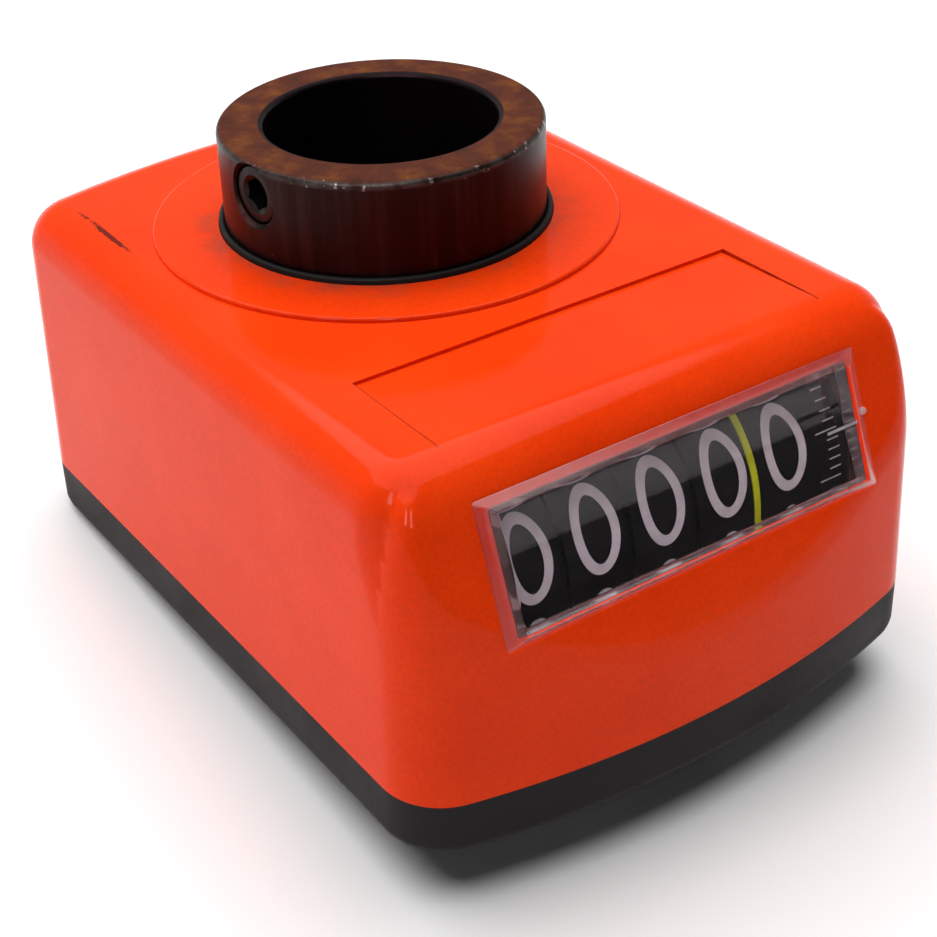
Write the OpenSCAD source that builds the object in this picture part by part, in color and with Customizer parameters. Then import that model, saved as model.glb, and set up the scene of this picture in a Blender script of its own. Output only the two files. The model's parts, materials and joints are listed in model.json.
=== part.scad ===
// Mechanical position indicator with a hollow shaft and a five-wheel counter.
// Millimetres. The origin is on the shaft's axis, in the plane of the base's underside.
// +Z runs up the shaft, the counter window looks towards -Y, +X is to the right of its reader.

/* [Hollow shaft] */
// Diameter of the bore that takes the spindle
bore_d = 20; // [16:0.5:22]
// Wall of the collar that stands out of the housing
collar_wall = 4; // [3.5:0.25:5]
// Wall of the shaft inside the housing
shaft_wall = 2; // [1.5:0.25:2.5]
// Height of the collar above the housing's top
collar_rise = 9.1; // [7.5:0.1:12]
// Chamfer on the collar's outer and inner top edge
collar_chamfer = 0.5; // [0.2:0.1:0.8]
// Diameter of the set screw in the collar
set_screw_d = 5; // [4:0.5:5.5]
// Metal left above the set screw's hole
set_screw_cover = 0.45; // [0.4:0.05:2]
// Direction of the set screw round the shaft, in degrees
set_screw_turn = 187; // [0:1:359]
// Width across the flats of the set screw's socket
set_screw_key = 2.5; // [2:0.5:3]

/* [Counter] */
// Diameter of the number wheels
wheel_d = 24.5; // [23:0.25:26]
// Distance from one number wheel to the next
wheel_pitch = 6.2; // [5.8:0.05:6.6]
// Distance of the wheels' middle from the shaft's, to the left
counter_shift = 1.75; // [0:0.05:2]
// Width of the band beside the last digit that carries the fine scale
scale_band = 4; // [2:0.05:4.5]
// Thickness of a number wheel's rim
rim_t = 1.25; // [1:0.05:1.5]
// Thickness of the carriers between the wheels
carrier_t = 0.6; // [0.5:0.05:0.8]
// Gap on each side of a carrier
carrier_gap = 0.1; // [0.08:0.01:0.2]
// Diameter of the counter's axle
axle_d = 3; // [2.5:0.1:3.5]
// Free space between the wheels and the shaft
wheel_shaft_gap = 2.55; // [2.3:0.05:4]
// Free space between the wheels and the floor of the base
wheel_floor_gap = 2.15; // [1.9:0.05:4]

/* [Gears] */
// Teeth of the drive gear on the shaft
crown_teeth = 40; // [36:2:44]
// Teeth of the pinion that the drive gear turns
pinion_teeth = 10; // [9:1:11]
// Teeth of the gears at both ends of the side train
end_teeth = 16; // [15:1:18]
// Teeth of the idler between them
idler_teeth = 20; // [18:1:22]
// Width of the side train's gears
gear_w = 2; // [1.5:0.1:2.5]
// Length of the drive gear's teeth
crown_tooth_len = 2.6; // [2.4:0.1:3]
// Play between meshing teeth
backlash = 0.3; // [0.2:0.02:0.4]

/* [Housing] */
// Thickness of the housing's walls
wall = 1.9; // [1.5:0.1:2.2]
// Thickness of the base's floor
floor_t = 2; // [1.8:0.1:3]
// Height of the base's edge
base_h = 5; // [4.5:0.1:6]
// Free space over the number wheels
top_gap = 0.55; // [0.4:0.05:1.5]
// Free space beside the gear bridge
side_gap = 1.1; // [0.8:0.05:2]
// Free space behind the drive gear
rear_gap = 8.2; // [6:0.1:9]
// Slope of the window's face from the horizontal, in degrees
window_slope = 69.5; // [66:0.5:74]
// Height at which the window's face runs out in the front
chin_h = 11.85; // [11:0.05:14]
// Radius of the bowed front and rear in plan
bow_r = 86; // [70:1:120]
// Radius of the upright corners
corner_r = 5.5; // [5.5:0.25:8]
// Radius of the rounded top edges
top_round = 3.75; // [3:0.25:5]
// Radius of the ridge between the top and the window's face
ridge_round = 5.25; // [4:0.25:6]
// Softening of the corners beside the window's face
cheek_round = 5.5; // [3:0.25:5.5]
// Draft of the side walls, in degrees
draft = 1.8; // [0.5:0.1:2]
// Radius of the raised disc round the collar
disc_r = 20.3; // [18.5:0.1:20.6]
// Height of that disc
disc_rise = 0.4; // [0.2:0.05:0.6]
// Width of the sunk label field
label_w = 36.2; // [30:0.1:37]
// Length of the label field, front to back
label_len = 11.25; // [8:0.25:11.5]
// Depth of the label field at its back edge
label_sink = 0.3; // [0.2:0.05:0.6]
// Free space between the disc and the label field
label_gap = 3.15; // [2.5:0.05:5]

/* [Window] */
// Width of the window's foot
window_w = 36.4; // [34:0.1:37]
// Height of the window's foot along the slope
window_h = 11.5; // [10.5:0.1:12]
// Height of the window above its face
window_rise = 1; // [0.8:0.05:1.5]
// Width of the window's bevel at each end
bevel_side = 1.4; // [1:0.05:2]
// Width of the bevel along the lower edge
bevel_low = 0.85; // [0.6:0.05:1.2]
// Width of the bevel along the upper edge
bevel_high = 1.15; // [0.6:0.05:1.4]
// Height of the window's middle over the axle, measured along the slope
window_lift = 1.42; // [1:0.02:2]
// Depth of the lens on the window's back
lens_depth = 0.6; // [0.4:0.01:1.6]
// Radius of that lens
lens_r = 18; // [14:0.5:30]
// Free space between the lens and the wheels
glass_gap = 0.5; // [0.4:0.05:1.5]

/* [Fastening] */
// Diameter of the torque pin under the base
pin_d = 6; // [5:0.5:7]
// Length of the torque pin below the base
pin_len = 4; // [3:0.25:6]
// Distance from the shaft's axis to the torque pin
pin_reach = 30; // [28:0.5:31]
// Diameter of the screws that hold the base and the counter frame
screw_d = 2.2; // [2:0.1:2.4]
// Diameter of their heads
screw_head_d = 4; // [3.6:0.1:4.2]
// Height of their heads
screw_head_h = 1.3; // [1:0.05:1.4]
// Distance of the rear base screws from the middle
rear_screw_x = 17; // [15:0.25:18]
// Distance of the front base screws from the middle
front_screw_x = 8; // [7:0.25:9]
// Distance of the frame's screws from the middle
frame_screw_x = 12.5; // [11:0.25:13]

/* [Hidden] */

$fn = 64;

// Clearances: a turning fit, a tight fit, a loose place and the reach of a cut past its face
run_fit = 0.05;
tight_fit = 0.02;
loose_fit = 0.15;
past = 1;
// Thickness of the slices that a rounded form is stretched over
slice_t = 0.01;
pressure_angle = 20;

// Shaft and its two bushes, from the base's underside upwards
bore_r = bore_d / 2;
collar_r = bore_r + collar_wall;
shaft_r = bore_r + shaft_wall;
bush_wall = 1.2;
ring_lip = 0.5;
ring_t = 0.7;
ring_play = 0.15;
ring_groove = 0.7;
ring_grip = 1.8;
ring_z = ring_lip + tight_fit;
ring_space = ring_z + ring_t + ring_play;
lower_bush_h = 2.2;
bush_flange = 0.3;
bush_flange_w = 1.4;
hub_floor = ring_space + lower_bush_h;

// Number wheels
wheel_r = wheel_d / 2;
wheel_w = wheel_pitch - carrier_t - 2 * carrier_gap;
axle_r = axle_d / 2;
axis_y = -(shaft_r + wheel_shaft_gap + wheel_r);
axis_z = floor_t + wheel_floor_gap + wheel_r;
hub_wall = 1.1;
hub_r = axle_r + hub_wall;
wheel_count = 5;
function wheel_x(place) = ((wheel_count - 1) / 2 - place) * wheel_pitch - counter_shift;
units_end = wheel_x(0) + wheel_w / 2 + scale_band;

// Carry between the wheels: internal rings on the wheels and small pinions on the carriers
ring_teeth = 20;
carry_teeth = 6;
ring_add = 0.75;
ring_ded = 1.15;
carry_add = 0.75;
carry_ded = 1.1;
carry_m = (wheel_r - rim_t) / (ring_teeth / 2 + ring_ded);
carry_reach = carry_m * (ring_teeth - carry_teeth) / 2;
carry_turn = 0;
carry_short = 3.05;
ring_deep = 2;
lobe_deep = 1.6;
carry_face_gap = 0.25;
carry_neck = 1.5;
carrier_step = 0.35;
tab_w = 3;

// Drive gear and pinion
crown_seat = 4.2;
crown_r = shaft_r + crown_seat;
crown_m = 2 * crown_r / crown_teeth;
crown_out = crown_r + crown_tooth_len / 2;
crown_add = 0.7;
crown_ded = 1.1;
crown_disc_t = 2;
crown_gap = 0.2;
crown_z = hub_floor + bush_flange + crown_gap;
crown_root_z = crown_z + crown_disc_t;
crown_pitch_z = crown_root_z + crown_ded * crown_m;
crown_hub_t = 2;
crown_hub_rise = 2.2;
pinion_r = crown_m * pinion_teeth / 2;
pinion_w = 2;
cross_z = crown_pitch_z + pinion_r;
cross_r = 1.5;
cross_overhang = 0.5;

// Side train from the pinion to the counter, with the idler above the straight line
train_span = norm([axis_y, axis_z - cross_z]);
idler_slack = 1.05;
gear_m = idler_slack * 2 * train_span / (2 * end_teeth + 2 * idler_teeth);
gear_add = 0.9;
gear_ded = 1.15;
train_side = gear_m * (end_teeth + idler_teeth) / 2;
train_angle = atan2(axis_z - cross_z, axis_y);
idler_lift = acos(train_span / 2 / train_side);
idler_y = train_side * cos(train_angle - idler_lift);
idler_z = cross_z + train_side * sin(train_angle - idler_lift);
to_counter = atan2(axis_z - idler_z, axis_y - idler_y);
cross_gear_turn = train_angle - idler_lift;
idler_turn = cross_gear_turn + 180 + 180 / idler_teeth;
counter_gear_turn = to_counter + 180 - (idler_turn - to_counter) * idler_teeth / end_teeth + 180 / end_teeth;

// Plates of the counter frame and the bridge over the side train
plate_gap = 0.8;
plate_t = 1.1;
gear_gap = 0.3;
bridge_t = 0.7;
left_x = wheel_x(wheel_count - 1) - wheel_w / 2 - plate_gap - plate_t;
right_x = max(units_end, crown_out) + plate_gap;
train_x = right_x + plate_t + gear_gap;
bridge_x = train_x + gear_w + gear_gap;
bridge_out = bridge_x + bridge_t;
eye_r = 3.2;
bridge_post_r = 1.2;
bar_h = 4.6;
bar_d = 2.7;
bar_gap = 0.85;
bar_top = floor_t + bar_h;
bar_back = axis_y - sqrt(pow(wheel_r + bar_gap, 2) - pow(axis_z - bar_top, 2));
bar_y = bar_back - bar_d / 2;
bar_z = floor_t + bar_h / 2;
tab_turn = atan2(bar_z - axis_z, bar_y - axis_y);
tab_end = norm([bar_y - axis_y, bar_z - axis_z]) + 0.5;
foot_len = 9;
foot_h = 1.5;

// Outer form of the housing
body_w = 2 * (bridge_out + side_gap + wall);
body_h = axis_z + wheel_r + top_gap + wall;
collar_top = body_h + collar_rise;
face_dist = wheel_r + glass_gap + lens_depth + wall;
face_y = axis_y - face_dist * sin(window_slope);
face_z = axis_z + face_dist * cos(window_slope);
function face_at(z) = face_y + (z - face_z) / tan(window_slope);
front_reach = -face_at(chin_h);
rear_reach = crown_out + rear_gap + wall;
function bow(x) = bow_r - sqrt(bow_r * bow_r - x * x);
cheek_h = chin_h + bow(body_w / 2 - corner_r) * tan(window_slope);
cheek_steps = 7;
round_steps = 6;
window_y = face_y + window_lift * cos(window_slope);
window_z = face_z + window_lift * sin(window_slope);
plug_w = window_w - 2 * bevel_side;
plug_h = window_h - bevel_low - bevel_high;
plug_mid = (bevel_low - bevel_high) / 2;
base_round = 1.1;
label_back = -(disc_r + label_gap);

// Seats in the housing and screws in the base
seal_wall = 0.5;
seal_rise = 0.9;
seal_h = 2.3;
bush_gap = 0.05;
seal_z = body_h + seal_rise - seal_h;
upper_bush_top = seal_z - bush_gap;
upper_bush_h = 5;
boss_wall = 1.2;
boss_z = upper_bush_top - upper_bush_h;
post_r = 2;
post_h = 8;
post_bite = 0.3;
lip_t = 0.9;
lip_h = 1.2;
rim_w = wall + loose_fit + lip_t;
screw_depth = 6;
pin_boss_wall = 1.5;
pin_boss_h = 1.6;
pin_tip = 0.5;
pin_neck = 0.3;
pin_shank_r = pin_d / 2 - 0.6;
front_screw_y = -(front_reach - bow(front_screw_x) - wall - post_r + post_bite);
rear_screw_y = rear_reach - bow(rear_screw_x) - wall - post_r + post_bite;
screw_places = [[-front_screw_x, front_screw_y], [front_screw_x, front_screw_y],
    [-rear_screw_x, rear_screw_y], [rear_screw_x, rear_screw_y]];
frame_screw_places = [[-frame_screw_x, bar_y], [frame_screw_x, bar_y]];

// Plan of the housing, moved inwards by a distance
module plan(inset) {
    offset(r = max(corner_r - inset, 0.5)) offset(delta = -max(corner_r, inset + 0.5))
        intersection() {
            translate([-body_w / 2, -front_reach]) square([body_w, front_reach + rear_reach]);
            translate([0, bow_r - front_reach]) circle(bow_r, $fn = 240);
            translate([0, rear_reach - bow_r]) circle(bow_r, $fn = 240);
        }
}

// How far the wall stands in at a height: depth below the skin, draft and rounded top
function wall_inset(z, depth) =
    let (r = top_round - depth, start = body_h - depth - r)
    depth + (z - base_h) * tan(draft) + (z <= start ? 0 : r - sqrt(max(0, r * r - pow(z - start, 2))));

// Front limit of a section: the sloping face, then the ridge that rolls into the top
function front_limit(z, depth) =
    let (r = ridge_round - depth, mid_z = body_h - depth - r, shift = depth / sin(window_slope))
    z <= mid_z + r * cos(window_slope)
        ? face_at(z) + shift
        : face_at(mid_z) + shift + r / sin(window_slope) - sqrt(max(0, r * r - pow(z - mid_z, 2)));

module section(z, depth) {
    soft = cheek_round - depth;
    offset(r = soft, $fn = 48) offset(delta = -soft)
        intersection() {
            plan(wall_inset(z, depth), $fn = 48);
            translate([-body_w / 2, front_limit(z, depth)])
                square([body_w, front_reach + rear_reach + body_h]);
        }
}

// Rounded form of the housing at a depth below its skin
module housing_form(depth, from_z) {
    top = body_h - depth;
    start = body_h - top_round;
    heights = concat([from_z],
        [for (i = [0 : cheek_steps]) chin_h + (cheek_h - chin_h) * pow(i / cheek_steps, 2)],
        [for (i = [0 : round_steps]) start + (top - start) * sin(90 * i / round_steps)]);
    hull() for (z = heights) translate([0, 0, min(z, top - slice_t)])
        linear_extrude(slice_t) section(z, depth);
}

// Places a shape in the plane of the window's face, with its Y up the slope and its Z outwards
module on_face() {
    translate([0, window_y, window_z]) rotate([window_slope, 0, 0]) children();
}

// Stretches a drawing of the YZ plane along X
module along_x(from_x, length) {
    translate([from_x, 0, 0]) rotate([90, 0, 90]) linear_extrude(length) children();
}

module rod_x(from_x, length, y, z, r) {
    translate([from_x, y, z]) rotate([0, 90, 0]) cylinder(r = r, h = length);
}

function polar(r, a) = [r * cos(a), r * sin(a)];
function involute(a) = tan(a) * 180 / PI - a;

// Half the angle of a tooth at radius r, thinned by the play
function tooth_half(r, teeth, m, thin) =
    let (pitch_r = m * teeth / 2, base_r = pitch_r * cos(pressure_angle))
    (PI * m / 2 - thin) / (2 * pitch_r) * 180 / PI
        + involute(pressure_angle) - involute(acos(min(1, base_r / r)));

module gear_shape(teeth, m, add, ded, thin) {
    root = m * (teeth / 2 - ded);
    tip = m * (teeth / 2 + add);
    steps = 3;
    polygon([for (i = [0 : teeth - 1]) for (side = [-1, 1]) for (k = [0 : steps])
        let (f = side < 0 ? k / steps : 1 - k / steps, r = root + f * (tip - root))
        polar(r, 360 * i / teeth + side * tooth_half(r, teeth, m, thin))]);
}

module housing() {
    color("orangered") difference() {
        union() {
            difference() {
                union() {
                    housing_form(0, base_h);
                    translate([0, 0, body_h - wall]) cylinder(r = disc_r, h = wall + disc_rise, $fn = 128);
                }
                housing_form(wall, base_h - past);
            }
            for (p = screw_places) translate([p.x, p.y, base_h]) cylinder(r = post_r, h = post_h);
            translate([0, 0, boss_z])
                cylinder(r = collar_r + bush_wall + boss_wall, h = body_h - wall - boss_z + slice_t);
        }
        translate([0, 0, boss_z - past]) cylinder(r = collar_r + seal_wall + 2 * run_fit, h = body_h);
        translate([0, 0, boss_z - past])
            cylinder(r = collar_r + bush_wall + tight_fit, h = past + upper_bush_h);
        for (p = screw_places) translate([p.x, p.y, base_h - past])
            cylinder(r = screw_d / 2 + tight_fit, h = past + screw_depth);
        along_x(-label_w / 2, label_w) polygon([
            [label_back, body_h + past], [label_back, body_h - label_sink],
            [label_back - label_len, body_h], [label_back - label_len, body_h + past]]);
        on_face() translate([-plug_w / 2 - loose_fit, plug_mid - plug_h / 2 - loose_fit, -wall - lens_depth])
            cube([plug_w + 2 * loose_fit, plug_h + 2 * loose_fit, wall + lens_depth + past]);
    }
}

module base_plate() {
    floor_hole = shaft_r + bush_wall + tight_fit;
    color("#2a2626") difference() {
        union() {
            difference() {
                hull() for (a = [0 : 30 : 90]) translate([0, 0, base_round * (1 - cos(a))])
                    linear_extrude(base_h - base_round * (1 - cos(a)))
                        plan(base_round * (1 - sin(a)), $fn = 48);
                translate([0, 0, floor_t]) linear_extrude(base_h) plan(rim_w, $fn = 48);
            }
            difference() {
                translate([0, 0, floor_t]) linear_extrude(base_h - floor_t + lip_h) difference() {
                    plan(wall + loose_fit, $fn = 48);
                    plan(rim_w, $fn = 48);
                }
                for (p = screw_places) translate([p.x, p.y, base_h])
                    cylinder(r = post_r + loose_fit, h = base_h);
            }
            for (p = screw_places) translate([p.x, p.y, 0]) cylinder(r = post_r, h = base_h);
            cylinder(r = floor_hole + bush_flange_w, h = hub_floor);
            translate([0, -pin_reach, 0]) cylinder(r = pin_d / 2 + pin_boss_wall, h = floor_t + pin_boss_h);
        }
        translate([0, 0, -past]) cylinder(r = floor_hole, h = base_h + past);
        translate([0, 0, -past]) cylinder(r = shaft_r + ring_grip + loose_fit, h = past + ring_space);
        translate([0, -pin_reach, -past]) cylinder(r = pin_shank_r + tight_fit, h = past + floor_t);
        for (p = concat(screw_places, frame_screw_places)) translate([p.x, p.y, -past]) {
            cylinder(r = screw_d / 2 + loose_fit, h = 2 * base_h);
            cylinder(r = screw_head_d / 2 + loose_fit, h = past + screw_head_h + loose_fit);
        }
    }
}

// Bevelled block with a plug that fills the opening and a lens towards the wheels
module window() {
    color("gainsboro", 0.5) on_face() {
        translate([0, 0, tight_fit]) hull() {
            translate([-window_w / 2, -window_h / 2, 0]) cube([window_w, window_h, slice_t]);
            translate([-plug_w / 2, plug_mid - plug_h / 2, 0])
                cube([plug_w, plug_h, window_rise - tight_fit]);
        }
        intersection() {
            translate([-plug_w / 2, plug_mid - plug_h / 2, -wall - lens_depth])
                cube([plug_w, plug_h, wall + lens_depth + 2 * tight_fit]);
            translate([-plug_w / 2, 0, lens_r - wall - lens_depth]) rotate([0, 90, 0])
                cylinder(r = lens_r, h = plug_w, $fn = 128);
        }
    }
}

module hollow_shaft() {
    c = collar_chamfer;
    shoulder = boss_z;
    groove_top = ring_z + ring_t + tight_fit;
    color("#4a332a") difference() {
        rotate_extrude($fn = 128) polygon([
            [bore_r, 0], [shaft_r, 0], [shaft_r, ring_lip], [shaft_r - ring_groove, ring_lip],
            [shaft_r - ring_groove, groove_top], [shaft_r, groove_top],
            [shaft_r, shoulder], [collar_r, shoulder],
            [collar_r, collar_top - c], [collar_r - c, collar_top],
            [bore_r + c, collar_top], [bore_r, collar_top - c]]);
        set_screw_axis() cylinder(r = set_screw_d / 2 + run_fit, h = collar_r + past);
    }
}

module set_screw_axis() {
    translate([0, 0, collar_top - set_screw_cover - set_screw_d / 2])
        rotate([0, 90, set_screw_turn]) children();
}

module set_screw() {
    socket_depth = 2;
    sunk = 0.5;
    color("#1d1b1a") set_screw_axis() difference() {
        translate([0, 0, bore_r + loose_fit])
            cylinder(r = set_screw_d / 2, h = collar_wall - loose_fit - sunk);
        translate([0, 0, collar_r - sunk - socket_depth])
            cylinder(r = set_screw_key / 2 / cos(30), h = socket_depth + past, $fn = 6);
    }
}

// Ring with a turning gap to the shaft
module sleeve(from_z, height, inner, outer) {
    translate([0, 0, from_z]) difference() {
        cylinder(r = outer, h = height, $fn = 128);
        translate([0, 0, -past]) cylinder(r = inner, h = height + 2 * past, $fn = 128);
    }
}

module shaft_seal() {
    color("#1a1a1c") sleeve(seal_z, seal_h, collar_r + run_fit, collar_r + seal_wall + run_fit);
}

module upper_bush() {
    color("goldenrod") sleeve(boss_z, upper_bush_h, collar_r + run_fit, collar_r + bush_wall);
}

module lower_bush() {
    color("goldenrod") {
        sleeve(ring_space, lower_bush_h, shaft_r + run_fit, shaft_r + bush_wall);
        sleeve(hub_floor, bush_flange, shaft_r + run_fit, shaft_r + bush_wall + bush_flange_w);
    }
}

module retaining_ring() {
    ring_mouth = 5;
    color("#555555") difference() {
        sleeve(ring_z, ring_t, shaft_r - ring_groove + tight_fit, shaft_r + ring_grip);
        translate([0, -ring_mouth / 2, -past]) cube([2 * shaft_r, ring_mouth, ring_space + past]);
    }
}

// Disc on the shaft whose upper face carries radial teeth
module drive_gear() {
    half = (PI * crown_m / 2 - backlash) / 2;
    rise = crown_add * crown_m;
    sink = crown_ded * crown_m;
    lean = tan(pressure_angle);
    color("whitesmoke") {
        sleeve(crown_z, crown_disc_t, shaft_r + tight_fit, crown_out);
        sleeve(crown_root_z, crown_hub_rise, shaft_r + tight_fit, shaft_r + crown_hub_t);
        for (i = [0 : crown_teeth - 1]) rotate([0, 0, 360 * i / crown_teeth])
            translate([0, 0, crown_pitch_z]) along_x(crown_out - crown_tooth_len, crown_tooth_len - tight_fit)
                polygon([[-half - sink * lean, -sink - tight_fit], [half + sink * lean, -sink - tight_fit],
                    [half - rise * lean, rise], [rise * lean - half, rise]]);
    }
}

module cross_shaft() {
    inner_x = crown_r - pinion_w / 2 - cross_overhang;
    color("silver") rod_x(inner_x, bridge_out - inner_x, 0, cross_z, cross_r);
}

// Spur gear on a rod along X
module spur(from_x, width, y, z, turn, teeth, m, add, ded, hole) {
    along_x(from_x, width) translate([y, z]) difference() {
        rotate(turn) gear_shape(teeth, m, add, ded, backlash / 2);
        circle(hole);
    }
}

module drive_pinion() {
    color("whitesmoke") spur(crown_r - pinion_w / 2, pinion_w, 0, cross_z, -90 + 180 / pinion_teeth,
        pinion_teeth, crown_m, crown_add, crown_ded, cross_r + tight_fit);
}

module cross_gear() {
    color("whitesmoke") spur(train_x, gear_w, 0, cross_z, cross_gear_turn,
        end_teeth, gear_m, gear_add, gear_ded, cross_r + tight_fit);
}

module idler_gear() {
    color("whitesmoke") spur(train_x, gear_w, idler_y, idler_z, idler_turn,
        idler_teeth, gear_m, gear_add, gear_ded, cross_r + run_fit);
}

module counter_gear() {
    color("whitesmoke") spur(train_x, gear_w, axis_y, axis_z, counter_gear_turn,
        end_teeth, gear_m, gear_add, gear_ded, axle_r + tight_fit);
}

module idler_stud() {
    color("silver") rod_x(right_x, bridge_out - right_x, idler_y, idler_z, cross_r);
}

// Two plates on one bar; the bar has a slot for the tab of each carrier
module counter_frame() {
    color("#3b3b3e") difference() {
        union() {
            along_x(left_x, plate_t) hull() {
                translate([axis_y, axis_z]) circle(eye_r);
                translate([bar_back - bar_d, floor_t]) square([bar_d + foot_len, bar_h]);
            }
            along_x(right_x, plate_t) hull() {
                translate([axis_y, axis_z]) circle(eye_r);
                translate([idler_y, idler_z]) circle(eye_r);
                translate([0, cross_z]) circle(eye_r);
                translate([bar_back - bar_d, floor_t]) square([bar_d, bar_h]);
                translate([-foot_len / 2, floor_t]) square([foot_len, foot_h]);
            }
            translate([left_x, bar_back - bar_d, floor_t]) cube([right_x - left_x + plate_t, bar_d, bar_h]);
        }
        rod_x(left_x - past, right_x - left_x + 2 * plate_t, axis_y, axis_z, axle_r + run_fit);
        rod_x(right_x - past, plate_t + 2 * past, idler_y, idler_z, cross_r + tight_fit);
        rod_x(right_x - past, plate_t + 2 * past, 0, cross_z, cross_r + run_fit);
        for (p = frame_screw_places) translate([p.x, p.y, floor_t - past])
            cylinder(r = screw_d / 2 + tight_fit, h = bar_h);
        for (k = [1 : wheel_count - 1])
            along_x(carrier_x(k) - carrier_t / 2 - carrier_gap, carrier_t + 2 * carrier_gap)
                translate([axis_y, axis_z]) rotate(tab_turn) translate([0, -tab_w / 2 - carrier_gap])
                    square([tab_end + carrier_gap, tab_w + 2 * carrier_gap]);
    }
}

// Outer bearing of the side train, held off the frame's right plate by a post and the idler's stud
module gear_bridge() {
    post = [axis_y / 2, cross_z - eye_r];
    color("#3b3b3e") difference() {
        union() {
            along_x(bridge_x, bridge_t) hull() {
                translate([axis_y, axis_z]) circle(eye_r);
                translate([idler_y, idler_z]) circle(eye_r);
                translate([0, cross_z]) circle(eye_r);
                translate(post) circle(bridge_post_r);
            }
            rod_x(right_x + plate_t, bridge_out - right_x - plate_t, post.x, post.y, bridge_post_r);
        }
        rod_x(bridge_x - past, bridge_t + 2 * past, axis_y, axis_z, axle_r + run_fit);
        rod_x(bridge_x - past, bridge_t + 2 * past, idler_y, idler_z, cross_r + tight_fit);
        rod_x(bridge_x - past, bridge_t + 2 * past, 0, cross_z, cross_r + run_fit);
    }
}

module counter_axle() {
    color("silver") rod_x(left_x, bridge_out - left_x, axis_y, axis_z, axle_r);
}

// Number wheel: rim, web and hub; a ring of inner teeth faces right, two carry lobes face left.
// Place 0 is the units wheel, which is wider and turns the axle.
module number_wheel(place) {
    last = place == 0;
    first = place == wheel_count - 1;
    from_x = wheel_x(place) - wheel_w / 2;
    width = wheel_w + (last ? scale_band : 0);
    inner = wheel_r - rim_t;
    web = wheel_w - ring_deep - lobe_deep;
    lobe_tip = carry_reach + carry_short * carry_m + 2 * loose_fit;
    lobe_a = 180 / ring_teeth;
    color("#161618") translate([0, axis_y, axis_z]) {
        along_x(from_x, width) difference() {
            circle(wheel_r, $fn = 128);
            circle(inner, $fn = 128);
        }
        along_x(from_x + lobe_deep, web) difference() {
            circle(inner + tight_fit);
            circle(axle_r + (last ? tight_fit : run_fit));
        }
        along_x(from_x, width) difference() {
            circle(hub_r);
            circle(axle_r + (last ? tight_fit : run_fit));
        }
        if (!last) along_x(from_x + lobe_deep + web, ring_deep) difference() {
            circle(inner + tight_fit);
            rotate(carry_turn) gear_shape(ring_teeth, carry_m, ring_ded - tight_fit, ring_add, -backlash / 2);
        }
        if (!first) along_x(from_x, lobe_deep) for (side = [-1, 1]) rotate(carry_turn + 180 + side * lobe_a)
            translate([lobe_tip, -carry_m / 2]) square([inner + tight_fit - lobe_tip, carry_m]);
    }
}

function carrier_x(k) = wheel_x(k) + wheel_pitch / 2;
carry_axis = polar(carry_reach, carry_turn);

// Thin disc between two wheels; its tab holds it in the frame and its slot carries the pinion's neck.
// The first one reaches the rims and marks the decimal place.
module pinion_carrier(k) {
    marker = k == 1;
    disc = marker ? wheel_r : wheel_r - carrier_step;
    neck = carry_neck + run_fit;
    color(marker ? "#c2cc2e" : "#161618") translate([0, axis_y, axis_z])
        along_x(carrier_x(k) - carrier_t / 2, carrier_t) difference() {
            union() {
                circle(disc, $fn = 128);
                rotate(tab_turn) translate([0, -tab_w / 2]) square([tab_end, tab_w]);
            }
            circle(axle_r + run_fit);
            translate(carry_axis) circle(neck);
            rotate(carry_turn) translate([carry_reach, -neck]) square([wheel_r, 2 * neck]);
        }
}

// Small pinion that passes a carry on: its left end turns the next wheel, its right end meets the lobes
module transfer_pinion(k) {
    x = carrier_x(k);
    half = carrier_t / 2 + carrier_gap;
    left = ring_deep - carry_face_gap;
    right = lobe_deep - carry_face_gap;
    color("whitesmoke") translate([0, axis_y + carry_axis.x, axis_z + carry_axis.y]) {
        along_x(x - half - left, left) rotate(carry_turn)
            gear_shape(carry_teeth, carry_m, carry_add, carry_ded, backlash);
        along_x(x + half, right) intersection() {
            rotate(carry_turn) gear_shape(carry_teeth, carry_m, carry_add, carry_ded, backlash);
            circle(carry_short * carry_m);
        }
        along_x(x - half, 2 * half) circle(carry_neck);
    }
}

// Screw from below, with its head at the origin's level and its shank upwards
module screw(length) {
    translate([0, 0, loose_fit]) {
        cylinder(r = screw_head_d / 2, h = screw_head_h);
        cylinder(r = screw_d / 2, h = length - loose_fit);
    }
}

module base_screws() {
    color("#6d6d70") for (p = screw_places) translate([p.x, p.y, 0]) screw(base_h + screw_depth - past / 2);
}

module frame_screws() {
    color("#6d6d70") for (p = frame_screw_places) translate([p.x, p.y, 0]) screw(bar_top - 1.5 * past);
}

// Pin with a chamfered tip, a relief under the base and a thinner shank in the floor
module torque_pin() {
    color("#2a2626") translate([0, -pin_reach, -pin_len]) {
        cylinder(r1 = pin_d / 2 - pin_tip, r2 = pin_d / 2, h = pin_tip);
        translate([0, 0, pin_tip]) cylinder(r = pin_d / 2, h = pin_len - pin_tip - pin_neck);
        translate([0, 0, pin_tip]) cylinder(r = pin_shank_r, h = pin_len - pin_tip + floor_t);
    }
}

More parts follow.
